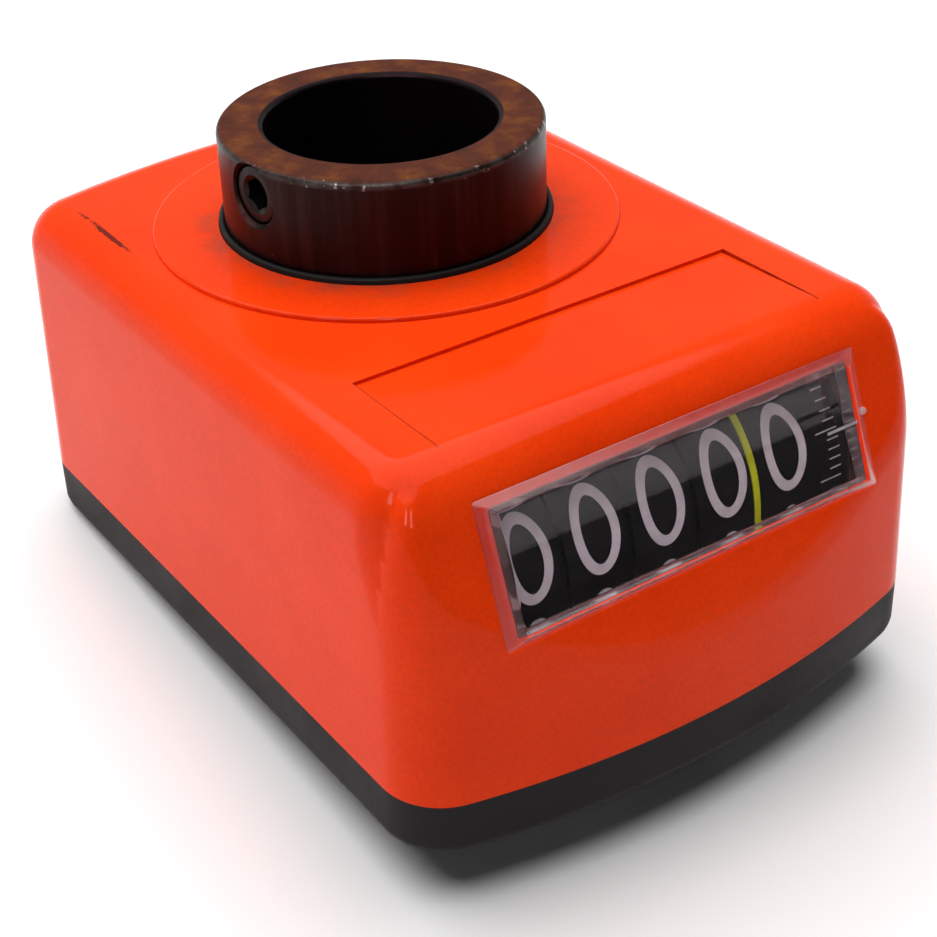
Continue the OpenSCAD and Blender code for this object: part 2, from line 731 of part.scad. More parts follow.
housing();
base_plate();
window();
hollow_shaft();
set_screw();
shaft_seal();
upper_bush();
lower_bush();
retaining_ring();
drive_gear();
cross_shaft();
drive_pinion();
cross_gear();
idler_gear();
idler_stud();
counter_frame();
gear_bridge();
counter_axle();
counter_gear();
number_wheel(0);  // units_wheel
number_wheel(1);  // tens_wheel
number_wheel(2);  // hundreds_wheel
number_wheel(3);  // thousands_wheel
number_wheel(wheel_count - 1);  // ten_thousands_wheel
pinion_carrier(1);  // pinion_carrier_1
pinion_carrier(2);  // pinion_carrier_2
pinion_carrier(3);  // pinion_carrier_3
pinion_carrier(4);  // pinion_carrier_4
transfer_pinion(1);  // transfer_pinion_1
transfer_pinion(2);  // transfer_pinion_2
transfer_pinion(3);  // transfer_pinion_3
transfer_pinion(4);  // transfer_pinion_4
base_screws();
frame_screws();
torque_pin();
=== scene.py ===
import json
import math
from functools import partial

import bmesh
import bpy
import numpy as np
from mathutils import Matrix, Vector


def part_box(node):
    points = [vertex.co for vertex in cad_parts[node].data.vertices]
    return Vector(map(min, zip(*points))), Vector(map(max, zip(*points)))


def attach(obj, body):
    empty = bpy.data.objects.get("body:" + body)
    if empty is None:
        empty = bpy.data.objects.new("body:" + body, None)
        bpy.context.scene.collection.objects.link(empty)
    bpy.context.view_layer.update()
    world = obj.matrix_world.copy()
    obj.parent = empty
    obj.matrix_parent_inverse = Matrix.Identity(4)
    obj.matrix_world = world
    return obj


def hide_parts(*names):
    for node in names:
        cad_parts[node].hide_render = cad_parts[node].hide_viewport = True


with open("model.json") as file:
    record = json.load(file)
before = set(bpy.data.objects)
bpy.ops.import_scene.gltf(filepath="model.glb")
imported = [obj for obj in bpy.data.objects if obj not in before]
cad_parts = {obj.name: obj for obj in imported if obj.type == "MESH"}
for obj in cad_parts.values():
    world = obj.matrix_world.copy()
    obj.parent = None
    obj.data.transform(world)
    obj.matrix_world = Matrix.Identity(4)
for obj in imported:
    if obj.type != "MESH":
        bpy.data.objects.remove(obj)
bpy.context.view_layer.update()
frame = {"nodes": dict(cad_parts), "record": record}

mm = 0.001
nodes = frame["nodes"]
scene = bpy.context.scene
print("frame loaded:", len(nodes), "solids")


# Small helpers

class Sizes(dict):  # a dictionary read by attribute
    __getattr__ = dict.__getitem__


def linear(code):  # sRGB hex to linear RGBA
    parts = [int(code[i:i + 2], 16) / 255 for i in (1, 3, 5)]
    return [p / 12.92 if p <= 0.04045 else ((p + 0.055) / 1.055) ** 2.4 for p in parts] + [1.0]


def perMetre(size):  # texture scale for a pattern of this size in mm
    return 1 / (size * mm)


def addNode(tree, kind, inputs=(), operation=None, **settings):
    # a kind without its family is a shader node; inputs come by name or number, or as a list in their order,
    # and a node among them stands for its first output in use
    node = tree.nodes.new(kind if "Node" in kind else "ShaderNode" + kind)
    if operation:
        node.operation = operation
    for name, value in settings.items():
        setattr(node, name, value)
    for key, value in inputs.items() if isinstance(inputs, dict) else enumerate(inputs):
        if isinstance(value, bpy.types.Node):
            value = next(socket for socket in value.outputs if socket.enabled)
        if isinstance(value, bpy.types.NodeSocket):
            tree.links.new(value, node.inputs[key])
        else:
            node.inputs[key].default_value = value
    return node


def newMaterial(name):
    material = bpy.data.materials.new(name)
    material.use_nodes = True
    material.node_tree.nodes.clear()
    add = partial(addNode, material.node_tree)
    return material, add, add("TexCoord").outputs["Object"]


def surface(material, add, inputs):  # closes a material
    shader = add("BsdfPrincipled", inputs)
    add("OutputMaterial", {"Surface": shader})
    return material


def layered(add, colour, layers):  # colours over a first one; Mix has its share at 0, its colours at 6 and 7
    for share, code in layers:
        colour = add("Mix", {0: share, 6: colour, 7: linear(code)}, data_type="RGBA")
    return colour


def fromAxis(add, place):  # distance from the Z axis
    flat = add("VectorMath", [place, (1, 1, 0)], "MULTIPLY")
    return add("VectorMath", [flat], "LENGTH")


def newObject(name, data):
    piece = bpy.data.objects.new(name, data)
    scene.collection.objects.link(piece)
    return piece


def newPiece(name, points, faces, material):
    mesh = bpy.data.meshes.new(name)
    mesh.from_pydata([[c * mm for c in p] for p in points], [], faces)
    mesh.validate()
    mesh.materials.append(material)
    return newObject(name, mesh)


def modify(piece, kind, **settings):
    modifier = piece.modifiers.new(kind, kind)
    for name, value in settings.items():
        setattr(modifier, name, value)
    return modifier


def bake(piece):  # what the modifiers give becomes the plain mesh
    depsgraph = bpy.context.evaluated_depsgraph_get()
    mesh = bpy.data.meshes.new_from_object(piece.evaluated_get(depsgraph))
    piece.modifiers.clear()
    old = piece.data
    piece.data = mesh
    bpy.data.meshes.remove(old)
    return piece


def carve(piece, steps):  # (operation, cutter) pairs, one after the other
    for operation, cutter in steps:
        modify(piece, "BOOLEAN", operation=operation, solver="MANIFOLD", object=cutter)
    bake(piece)
    for _, cutter in steps:
        bpy.data.objects.remove(cutter)
    return piece


def rounded(piece, width, angle):  # a small round on the edges that turn by more than the angle
    modify(piece, "BEVEL", width=width * mm, segments=2, limit_method="ANGLE",
           angle_limit=math.radians(angle))
    return bake(piece)


def smooth(piece, angle):  # smooth faces, crisp edges
    piece.data.shade_smooth()
    piece.data.set_sharp_from_angle(angle=math.radians(angle))
    return piece


def weighted(piece):  # large flat faces keep their own normal beside a small round
    modify(piece, "WEIGHTED_NORMAL", keep_sharp=True)
    return bake(piece)


def settle(piece, body, slot, *replaced):
    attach(piece, body)
    if replaced:
        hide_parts(*replaced)
    return piece


def softened(corners, steps=5):  # (r, z, radius) corners of a closed outline, with arcs put in
    outline = []
    for i, (r, z, radius) in enumerate(corners):
        here = Vector((r, z))
        if radius == 0:
            outline.append((r, z))
            continue
        before = (Vector(corners[i - 1][:2]) - here).normalized()
        after = (Vector(corners[(i + 1) % len(corners)][:2]) - here).normalized()
        half = before.angle(after) / 2
        centre = here + (before + after).normalized() * radius / math.sin(half)
        first = here + before * radius / math.tan(half) - centre
        last = here + after * radius / math.tan(half) - centre
        start = math.atan2(first.y, first.x)
        sweep = (math.atan2(last.y, last.x) - start + math.pi) % (2 * math.pi) - math.pi
        for k in range(steps + 1):
            turn = start + sweep * k / steps
            outline.append((centre.x + radius * math.cos(turn), centre.y + radius * math.sin(turn)))
    return outline


def outward(piece):  # faces look out
    shape = bmesh.new()
    shape.from_mesh(piece.data)
    bmesh.ops.recalc_face_normals(shape, faces=shape.faces)
    shape.to_mesh(piece.data)
    shape.free()
    return piece


def lathe(name, outline, material, segments):  # closed (r, z) outline turned round Z; r 0 closes a pole
    points = []
    rings = []
    for r, z in outline:
        if r == 0:
            rings.append([len(points)] * segments)
            points.append((0, 0, z))
            continue
        rings.append(list(range(len(points), len(points) + segments)))
        for k in range(segments):
            turn = 2 * math.pi * k / segments
            points.append((r * math.cos(turn), r * math.sin(turn), z))
    faces = []
    for a, b in zip(rings, rings[1:] + rings[:1]):
        for k in range(segments):
            after = (k + 1) % segments
            face = list(dict.fromkeys([a[k], a[after], b[after], b[k]]))
            if len(face) > 2:
                faces.append(face)
    return outward(newPiece(name, points, faces, material))


def drum(radius, low, high, x=0, y=0, segments=96):  # plain cutter or boss
    piece = lathe("drum", [(0, low), (radius, low), (radius, high), (0, high)], None, segments)
    piece.data.transform(Matrix.Translation((x * mm, y * mm, 0)))
    return piece


def prism(name, outline, low, high, material):  # (y, z) outline stretched along X
    count = len(outline)
    points = [(x, y, z) for x in (low, high) for y, z in outline]
    faces = [list(range(count)), list(range(count, 2 * count))]
    for k in range(count):
        after = (k + 1) % count
        faces.append([k, after, count + after, count + k])
    return outward(newPiece(name, points, faces, material))


def cadCopy(node, name, material):  # the solid's own shape with smooth shading
    mesh = nodes[node].data.copy()
    shape = bmesh.new()
    shape.from_mesh(mesh)
    bmesh.ops.remove_doubles(shape, verts=shape.verts, dist=0.0005 * mm)
    shape.to_mesh(mesh)
    shape.free()
    mesh.materials.clear()
    mesh.materials.append(material)
    return weighted(smooth(newObject(name, mesh), 32))


def meshPoints(piece):  # in mm
    return np.array([vertex.co for vertex in piece.data.vertices]) / mm


def dress(piece, exact, onSkin, agree, flat=math.inf):
    # the skin's exact normals on faces that lie on it and look its way, their own on others larger than flat
    mesh = piece.data
    corners = np.zeros(len(mesh.loops) * 3, np.float32)
    mesh.corner_normals.foreach_get("vector", corners)
    corners = corners.reshape(-1, 3)
    for face in mesh.polygons:
        loops = slice(face.loop_start, face.loop_start + face.loop_total)
        owner = list(face.vertices)
        own = np.array(face.normal)
        if onSkin[owner].all() and (exact[owner] @ own > agree).all():
            corners[loops] = exact[owner]
        elif face.area > flat:
            corners[loops] = own
    mesh.normals_split_custom_set(corners.tolist())


# Geometry Nodes groups share their start, their end and how they are run

def newTree(name, sockets):  # one geometry in and one out, with named inputs by kind
    tree = bpy.data.node_groups.new(name, "GeometryNodeTree")
    tree.interface.new_socket("Geometry", in_out="INPUT", socket_type="NodeSocketGeometry")
    for kind, names in sockets.items():
        for socket in names:
            tree.interface.new_socket(socket, in_out="INPUT", socket_type="NodeSocket" + kind)
    tree.interface.new_socket("Geometry", in_out="OUTPUT", socket_type="NodeSocketGeometry")
    add = partial(addNode, tree)
    return tree, add, add("NodeGroupInput").outputs


def closeTree(add, copies, material):
    real = add("GeometryNodeRealizeInstances", [copies])
    done = add("GeometryNodeSetMaterial", {"Geometry": real, "Material": material})
    add("NodeGroupOutput", [done])


def runTree(piece, tree, values):  # inputs are set by their sockets' identifiers
    modifier = modify(piece, "NODES", node_group=tree)
    for item in tree.interface.items_tree:
        if item.in_out == "INPUT" and item.name in values:
            modifier[item.identifier] = values[item.name]
    return piece


# Materials

# Map Range lists value, from low, from high, to low, to high
def orangePolyamide():
    # Moulded glass-filled polyamide, dyed bright orange: soft gloss over a fine spark-eroded grain, a few
    # dark specks and scuffs, and dust where the collar turns.
    material, add, place = newMaterial("orangePolyamide")
    cloud = add("TexNoise", {"Vector": place, "Scale": perMetre(14), "Detail": 4, "Roughness": 0.6})
    tone = add("ValToRGB", [cloud])
    for stop, position, code in zip(tone.color_ramp.elements, (0.3, 0.7), ("#f53c0a", "#ff450f")):
        stop.position = position
        stop.color = linear(code)
    grain = add("TexNoise", {"Vector": place, "Scale": perMetre(0.32), "Detail": 2})
    fleck = add("MapRange", [grain, 0.35, 0.65, 0.14, 0.0])
    # dark specks, up to 0.5 mm across and some 7 mm apart
    cells = add("TexVoronoi", {"Vector": place, "Scale": perMetre(7)})
    pick = add("SeparateColor", [cells.outputs["Color"]])
    size = add("MapRange", [pick, 0.55, 1.0, 0.0, 0.035])
    speck = add("Math", [cells, size], "LESS_THAN")
    shade = add("Math", [speck, 0.7], "MULTIPLY")
    # dust and rubbed rubber on top, in a band round the collar's foot
    radius = fromAxis(add, place)
    split = add("SeparateXYZ", [place]).outputs
    smudge = add("TexNoise", {"Vector": place, "Scale": perMetre(3), "Detail": 5})
    dust = add("MapRange", [radius, 14.7 * mm, 17.2 * mm, 1.0, 0.0])
    patch = add("MapRange", [smudge, 0.42, 0.68])
    above = add("Math", [split["Z"], 31 * mm], "GREATER_THAN")
    for factor in (patch, above, 0.55):
        dust = add("Math", [dust, factor], "MULTIPLY")
    # painted shade: a thin dark line along the side edges of the label field, where its sunk step would be
    # shaded
    across = add("Math", [split["X"]], "ABSOLUTE")
    labelEdgeShade = add("Math", [across, 18.1 * mm, 0.1 * mm], "COMPARE")
    along = add("Math", [split["Y"], -29.1 * mm, 5.65 * mm], "COMPARE")
    level = add("Math", [split["Z"], 30.7 * mm], "GREATER_THAN")
    thin = add("MapRange", [smudge, 0.3, 0.6, 0.35, 0.85])
    for factor in (along, level, thin):
        labelEdgeShade = add("Math", [labelEdgeShade, factor], "MULTIPLY")
    # one long broken scuff on the left shoulder: an ellipsoid's falloff, wavering and torn by noise
    tear = add("TexNoise", {"Vector": place, "Scale": perMetre(1.6), "Detail": 4, "Roughness": 0.7})
    waver = add("VectorMath", {0: tear.outputs["Color"], "Scale": 0.9 * mm}, "SCALE")
    loose = add("VectorMath", [place, waver], "ADD")
    centred = add("Mapping", {"Vector": loose, "Location": (20.75 * mm, -12.6 * mm, -31.3 * mm)})
    drawn = add("Mapping", {"Vector": centred, "Scale": (perMetre(0.3), perMetre(6), perMetre(3))})
    line = add("TexGradient", {"Vector": drawn}, gradient_type="SPHERICAL").outputs["Fac"]
    gaps = add("MapRange", [tear, 0.34, 0.54])
    torn = add("Math", [line, gaps], "MULTIPLY")
    scuff = add("MapRange", [torn, 0.02, 0.3, 0.0, 0.85])
    # the grain's shade, then specks, dust, the label field's painted edge shade and scuff
    colour = layered(add, tone, [(fleck, "#b02c06"), (shade, "#5a1e10"), (dust, "#7a4a3a"), (labelEdgeShade, "#8a1f07"),
                                 (scuff, "#3a1008")])
    # gloss is uneven; the grain is about 0.3 mm, a few pixels in the picture
    gloss = add("MapRange", [cloud, 0.3, 0.7, 0.08, 0.13])
    bump = add("Bump", {"Height": grain, "Strength": 0.35, "Distance": 0.012 * mm})
    return surface(material, add, {
        "Base Color": colour, "Roughness": gloss, "Normal": bump, "IOR": 1.53, "Specular IOR Level": 0.06})


def burnishedSteel():
    # Turned steel, burnished dark brown: a dull red-brown rust bloom on the end face, a worn rim with painted
    # bright glints, black in the bore, faint turning rings and upright streaks on the outside.
    material, add, place = newMaterial("burnishedSteel")
    height = add("SeparateXYZ", [place]).outputs["Z"]
    radius = fromAxis(add, place)
    mottle = add("TexNoise", {"Vector": place, "Scale": perMetre(2.2), "Detail": 8, "Roughness": 0.65})
    blotch = add("TexNoise", {"Vector": place, "Scale": perMetre(6), "Detail": 3})
    # outside: dark brown, rings about 0.6 mm apart
    stretched = add("Mapping", {"Vector": place, "Scale": (0.06, 0.06, 1)})
    rings = add("TexNoise", {"Vector": stretched, "Scale": perMetre(0.6), "Detail": 3})
    upright = add("Mapping", {"Vector": place, "Scale": (1, 1, 0.07)})
    streaks = add("TexNoise", {"Vector": upright, "Scale": perMetre(1.4), "Detail": 5, "Roughness": 0.65})
    run = add("MapRange", [streaks, 0.46, 0.72, 0.0, 0.3])
    side = layered(add, linear("#2a1512"), [(blotch, "#1c1413"), (run, "#4a302d")])
    # end face: rust, from purple-brown to orange-brown
    rust = add("ValToRGB", [mottle])
    stops = rust.color_ramp.elements
    for stop, position, code in zip(stops, (0.3, 0.72), ("#411d12", "#733f14")):
        stop.position = position
        stop.color = linear(code)
    stops.new(0.5).color = linear("#562715")
    onTop = add("MapRange", [height, 39.95 * mm, 40.15 * mm])
    # worn rim: the steel shows through where the outer edge is rubbed, with painted highlights as small
    # bright glints on it
    wear = add("MapRange", [height, 39.4 * mm, 39.75 * mm])
    high = add("MapRange", [height, 40.02 * mm, 40.18 * mm, 1.0, 0.0])
    outer = add("MapRange", [radius, 13.0 * mm, 13.4 * mm])
    rub = add("MapRange", [mottle, 0.36, 0.62])
    for factor in (high, outer, rub):
        wear = add("Math", [wear, factor], "MULTIPLY")
    glintNoise = add("TexNoise", {"Vector": place, "Scale": perMetre(0.7), "Detail": 3})
    glintSpot = add("MapRange", [glintNoise, 0.62, 0.68])
    paintedGlint = add("Math", [wear, glintSpot], "MULTIPLY")
    # bore: black
    inside = add("MapRange", [radius, 10.36 * mm, 10.5 * mm, 1.0, 0.0])
    # pale dust and lint low on the outside
    lint = add("TexNoise", {"Vector": place, "Scale": perMetre(0.7), "Detail": 6, "Roughness": 0.7})
    fleck = add("MapRange", [lint, 0.66, 0.74, 0.0, 0.5])
    foot = add("MapRange", [height, 32.0 * mm, 35.5 * mm, 1.0, 0.0])
    dusty = add("Math", [fleck, foot], "MULTIPLY")
    colour = add("Mix", {0: onTop, 6: side, 7: rust}, data_type="RGBA")
    colour = layered(add, colour, [(wear, "#4b4442"), (paintedGlint, "#c9c2bd"), (inside, "#1e1215"),
                                   (dusty, "#8d7f78")])
    # rust is duller and less of a metal than the burnished side
    metal = add("MapRange", {0: onTop, 3: 0.75, 4: 0.1})
    rough = add("MapRange", {0: onTop, 3: 0.36, 4: 0.75})
    relief = add("Math", [rings, mottle], "ADD")
    bump = add("Bump", {"Height": relief, "Strength": 0.35, "Distance": 0.03 * mm})
    return surface(material, add, {
        "Base Color": colour, "Metallic": metal, "Roughness": rough, "Normal": bump,
        "Specular IOR Level": 0.1})


def mouldedAcrylic(name, tint, clear, haze, low, high, ripple, detail, strength):
    # haze and ripple are the sizes in mm of the change in roughness, low to high, and of the surface's waves
    material, add, place = newMaterial(name)
    breath = add("TexNoise", {"Vector": place, "Scale": perMetre(haze), "Detail": 5})
    rough = add("MapRange", [breath, 0.35, 0.7, low, high])
    wave = add("TexNoise", {"Vector": place, "Scale": perMetre(ripple), "Detail": detail})
    bump = add("Bump", {"Height": wave, "Strength": strength, "Distance": 0.02 * mm})
    return surface(material, add, {
        "Base Color": linear(tint), "Roughness": rough, "Normal": bump, "IOR": 1.49,
        "Transmission Weight": clear})


def finish(name, dark, light, roughness, patch, grain, depth, metallic=0.0, specular=0.5):
    # two near tones; patch is the size in mm of the cloudy change, grain and depth those of the texture
    material, add, place = newMaterial(name)
    cloud = add("TexNoise", {"Vector": place, "Scale": perMetre(patch), "Detail": 5, "Roughness": 0.6})
    share = add("MapRange", [cloud, 0.3, 0.7])
    colour = layered(add, linear(dark), [(share, light)])
    gloss = add("MapRange", {0: share, 3: roughness * 0.85, 4: roughness * 1.2})
    texture = add("TexNoise", {"Vector": place, "Scale": perMetre(grain), "Detail": 3})
    bump = add("Bump", {"Height": texture, "Strength": 0.4, "Distance": depth * mm})
    return surface(material, add, {
        "Base Color": colour, "Roughness": gloss, "Normal": bump, "Metallic": metallic,
        "Specular IOR Level": specular})


orange = orangePolyamide()
steelBrown = burnishedSteel()
# cast acrylic, polished on top: clear, with a breath of haze
acrylic = mouldedAcrylic("clearAcrylic", "#f6eff2", 1.0, 4, 0.01, 0.05, 9, 1, 0.1)
# the same acrylic where the mould left it satin: milky, it only hints at what lies behind
acrylicSatin = mouldedAcrylic("satinAcrylic", "#ab7e81", 0.86, 1.5, 0.1, 0.24, 0.5, 2, 0.15)
# the same acrylic, whitened where the moulding gate was cut off
acrylicWhite = finish("whitenedAcrylic", "#b58a8b", "#cba5a5", 0.35, 0.8, 0.3, 0.01)
# moulded black polyamide: satin, greyed by dust in its grain
blackBase = finish("blackPolyamide", "#130e10", "#1d1618", 0.5, 6, 0.4, 0.02, specular=0.15)
# nitrile rubber: black, soft gloss
rubber = finish("nitrileRubber", "#070606", "#0f0c0d", 0.6, 2, 0.5, 0.02, specular=0.2)
# black-oxide steel of a bought set screw: dark, oily
blackOxide = finish("blackOxideSteel", "#15100f", "#251c1a", 0.38, 1.5, 0.4, 0.015, metallic=0.8)
# sintered bronze: warm, matt from its pores
bronze = finish("sinteredBronze", "#7d5a2c", "#a67c41", 0.5, 2, 0.25, 0.02, metallic=1.0)
# natural acetal of the gears: milky white, waxy
acetal = finish("naturalAcetal", "#dcd9cf", "#ebe8df", 0.4, 4, 0.6, 0.01)
# ground steel of axles: bright with fine marks
groundSteel = finish("groundSteel", "#a3a3a6", "#c2c2c4", 0.25, 3, 0.2, 0.01, metallic=1.0)
# moulded dark ABS of the counter frame: charcoal, satin
darkAbs = finish("darkAbs", "#2b2b2d", "#39393b", 0.5, 5, 0.4, 0.015)
# black ABS of the number wheels: satin, with hardly any glare
wheelAbs = finish("wheelAbs", "#0b0a0b", "#121012", 0.6, 4, 0.3, 0.012, specular=0.08)
# pale pad-printed ink: matt, a little thin
paleInk = finish("paleInk", "#aea9ae", "#bfbabf", 0.8, 1.2, 0.2, 0.006, specular=0.02)
# white engraving paint of the fine scale and the index line: matt, greyed
scalePaint = finish("scalePaint", "#98939a", "#b4afb5", 0.8, 0.8, 0.2, 0.005, specular=0.02)
# yellow-green ABS of the decimal marker: strong colour, satin
markerAbs = finish("markerAbs", "#a3ac18", "#bcc42c", 0.6, 3, 0.3, 0.01, specular=0.08)
# zinc-plated screws: pale grey with a faint yellow cast
zincSteel = finish("zincPlatedSteel", "#8f8f8c", "#b5b4ad", 0.35, 1.5, 0.3, 0.01, metallic=1.0)
# turned steel of the torque pin: mid grey, satin from the tool
turnedSteel = finish("turnedSteel", "#6d6c6e", "#8d8c8e", 0.36, 2, 0.25, 0.015, metallic=1.0)
print("materials made:", len(bpy.data.materials))


# Housing: a drafted box with bowed ends, rounded top and a sloping face, worked out as a distance to its skin

housing = Sizes(
    width=51.4, front=44.782, rear=27.6, bow=86.0, corner=5.5, foot=5.0, top=31.1, draft=1.8, topRound=3.75,
    ridgeRound=5.25, cheekRound=5.5, wall=1.9, slope=69.5, faceY=-41.084, faceZ=21.741, discRadius=20.3,
    discRise=0.4, discEdge=0.22, labelHalf=18.1, labelBack=-23.45, labelFront=-34.7, labelSink=0.3,
    openHalf=16.95, openLow=-5.05, openHigh=4.75, openIn=-5.0, openOut=2.0, openY=-40.587, openZ=23.071,
    sealSeat=14.6, bushSeat=15.22, bushTop=29.65, boss=16.4, bossLow=24.65,
    posts=[(-8.0, -40.809), (8.0, -40.809), (-17.0, 22.303), (17.0, 22.303)], post=2.0, postTop=13.0,
    postHole=1.12, postHoleTop=11.0, over=1.0, centreY=-9.5, far=80.0, fineTurns=8001,
    grid={"columns": 520, "roundRows": 12, "wallRows": 52},
    hollowGrid={"columns": 200, "roundRows": 6, "wallRows": 16}, onSkin=0.02, agree=0.9, flatArea=2.0,
    sharp=38.0,
)
tiny = 1e-9  # keeps divisions from failing
slope = math.radians(housing.slope)
slopeSin = math.sin(slope)
slopeCos = math.cos(slope)
ridgeZ = housing.top - housing.ridgeRound
ridgeY = housing.faceY + ((ridgeZ - housing.faceZ) * slopeCos + housing.ridgeRound) / slopeSin
draftTan = math.tan(math.radians(housing.draft))
# the window's own frame: X right, Y up the slope, Z out of the face
windowFrame = Matrix.Translation((0, housing.openY * mm, housing.openZ * mm)) @ Matrix.Rotation(slope, 4, "X")


def planGap(x, y):  # distance outside the plan's outline, and the outline's normal there
    half = housing.width / 2
    bow = housing.bow
    corner = housing.corner
    across = np.abs(x)
    gap = across - half
    normalX = np.sign(x)
    normalY = np.zeros_like(y)
    inner = half - corner
    for way, reach in ((-1, housing.front), (1, housing.rear)):
        centre = way * (reach - bow)
        away = np.hypot(x, y - centre)
        arc = away - bow
        use = (arc > gap) & ((y - centre) * way > 0)
        gap = np.where(use, arc, gap)
        normalX = np.where(use, x / away, normalX)
        normalY = np.where(use, (y - centre) / away, normalY)
        cornerY = centre + way * math.sqrt((bow - corner) ** 2 - inner ** 2)
        spread = np.hypot(across - inner, y - cornerY)
        use = (across > inner) & ((y - cornerY) * way > -tiny)
        use &= across * abs(cornerY - centre) > inner * np.abs(y - centre)
        gap = np.where(use, spread - corner, gap)
        normalX = np.where(use, np.sign(x) * (across - inner) / np.maximum(spread, tiny), normalX)
        normalY = np.where(use, (y - cornerY) / np.maximum(spread, tiny), normalY)
    return gap, normalX, normalY


def roundJoin(first, second, cosine, radius):  # two skins whose normals stand at an angle, joined by a round
    a = first + radius
    b = second + radius
    between = (a > cosine * b) & (b > cosine * a)
    edge = np.sqrt(np.maximum(a * a + b * b - 2 * cosine * a * b, 0) / np.maximum(1 - cosine ** 2, 1e-6))
    return np.where(between, edge - radius, np.maximum(first, second))


def skin(x, y, z):  # distance outside the housing
    gap, _, normalY = planGap(x, y)
    wall = gap + (z - housing.foot) * draftTan
    top = z - housing.top
    face = -(y - housing.faceY) * slopeSin + (z - housing.faceZ) * slopeCos
    lid = roundJoin(top, face, slopeCos, housing.ridgeRound)
    stepY = y - ridgeY
    stepZ = z - ridgeZ
    length = np.maximum(np.hypot(stepY, stepZ), tiny)
    onRidge = (stepY < 0) & (stepY * slopeCos + stepZ * slopeSin > 0)
    onTop = top > face
    lidY = np.where(onRidge, stepY / length, np.where(onTop, 0.0, -slopeSin))
    lidZ = np.where(onRidge, stepZ / length, np.where(onTop, 1.0, slopeCos))
    share = np.clip((lidZ - slopeCos) / (1 - slopeCos), 0, 1)
    radius = housing.cheekRound + (housing.topRound - housing.cheekRound) * share
    return roundJoin(wall, lid, normalY * lidY, radius)


def crossing(outside, count, halvings=44):  # how far each ray runs before it is outside
    low = np.zeros(count)
    high = np.full(count, housing.far)
    for _ in range(halvings):
        middle = (low + high) / 2
        past = outside(middle[:, None])
        high = np.where(past, middle, high)
        low = np.where(past, low, middle)
    return ((low + high) / 2)[:, None]


def reachAlong(start, step, depth):  # where each ray is this deep under the skin
    return start + step * crossing(lambda run: skin(*(start + step * run).T) > -depth, len(step))


def skinForm(name, depth, lowest, columns, roundRows, wallRows, material):
    # columns are spread evenly along the foot's outline
    centre = np.array([0, housing.centreY, 0])
    up = np.array([0, 0, 1])
    turns = np.linspace(0, 2 * np.pi, housing.fineTurns)
    spokes = np.stack([np.cos(turns), np.sin(turns), 0 * turns], 1)
    foot = reachAlong(centre + up * housing.foot, spokes, 0)
    run = np.concatenate([[0], np.cumsum(np.linalg.norm(np.diff(foot, axis=0), axis=1))])
    turn = np.interp(np.arange(columns) / columns * run[-1], run, turns)
    spoke = np.stack([np.cos(turn), np.sin(turn), 0 * turn], 1)
    inset = (housing.top - housing.foot) * draftTan + housing.topRound

    def offFlat(reach):  # past the flat of the top
        p = centre + spoke * reach
        return np.maximum(planGap(p[:, 0], p[:, 1])[0] + inset, ridgeY - p[:, 1]) > 0

    pivot = centre + spoke * crossing(offFlat, columns) + up * ridgeZ
    rows = []
    for k in range(roundRows):
        lift = math.pi / 2 * (1 - k / roundRows)
        rows.append(reachAlong(pivot, spoke * math.cos(lift) + up * math.sin(lift), depth))
    for k in range(wallRows + 1):
        level = ridgeZ + (lowest - ridgeZ) * k / wallRows
        rows.append(reachAlong(centre + up * level, spoke, depth))
    faces = [list(range(columns))]
    for k in range(len(rows) - 1):
        for j in range(columns):
            here = k * columns
            below = here + columns
            after = (j + 1) % columns
            faces.append([here + j, below + j, below + after, here + after])
    faces.append(list(range((len(rows) - 1) * columns, len(rows) * columns))[::-1])
    return outward(newPiece(name, np.concatenate(rows).tolist(), faces, material))


def skinNormals(points, step=0.002):  # gradient of the distance
    normals = np.stack([skin(*(points + way).T) - skin(*(points - way).T) for way in np.eye(3) * step], 1)
    return normals / np.maximum(np.linalg.norm(normals, axis=1), tiny)[:, None]


def makeHousing():
    h = housing
    over = h.over  # a cutter runs this far past what it cuts, and the boss ends this far under the top
    lid = h.top - h.wall
    disc = h.top + h.discRise
    piece = skinForm("housingShell", 0, h.foot, material=orange, **h.grid)
    hollow = skinForm("hollow", h.wall, h.foot - over, material=None, **h.hollowGrid)
    outline = [(0, lid, 0), (h.discRadius, lid, 0), (h.discRadius, disc, h.discEdge), (0, disc, 0)]
    raised = lathe("disc", softened(outline, 3), orange, 256)
    outline = [(h.labelBack, h.top + over), (h.labelBack, h.top - h.labelSink), (h.labelFront, h.top),
               (h.labelFront, h.top + over)]
    label = prism("label", outline, -h.labelHalf, h.labelHalf, None)
    outline = [(h.openLow, h.openIn), (h.openLow, h.openOut), (h.openHigh, h.openOut), (h.openHigh, h.openIn)]
    opening = prism("opening", outline, -h.openHalf, h.openHalf, None)
    opening.data.transform(windowFrame)
    steps = [("UNION", raised), ("DIFFERENCE", hollow), ("UNION", drum(h.boss, h.bossLow, h.top - over))]
    steps += [("UNION", drum(h.post, h.foot, h.postTop, x, y, 32)) for x, y in h.posts]
    steps += [("DIFFERENCE", drum(h.postHole, h.foot - over, h.postHoleTop, x, y, 24)) for x, y in h.posts]
    steps += [("DIFFERENCE", drum(h.sealSeat, h.bossLow - over, h.top + 2 * over, segments=192)),
              ("DIFFERENCE", drum(h.bushSeat, h.bossLow - over, h.bushTop)),
              ("DIFFERENCE", label), ("DIFFERENCE", opening)]
    points = meshPoints(smooth(carve(piece, steps), h.sharp))
    onSkin = np.abs(skin(*points.T)) < h.onSkin
    dress(piece, skinNormals(points), onSkin, h.agree, h.flatArea * mm * mm)
    return settle(piece, "housing_group", "housing_plastic", "housing")


housingShell = makeHousing()
print("housing:", len(housingShell.data.polygons), "faces")


# Base: the solid's own shape, with exact normals on the bowed wall and its lower round

base = Sizes(round=1.1, onWall=0.05, agree=0.8)


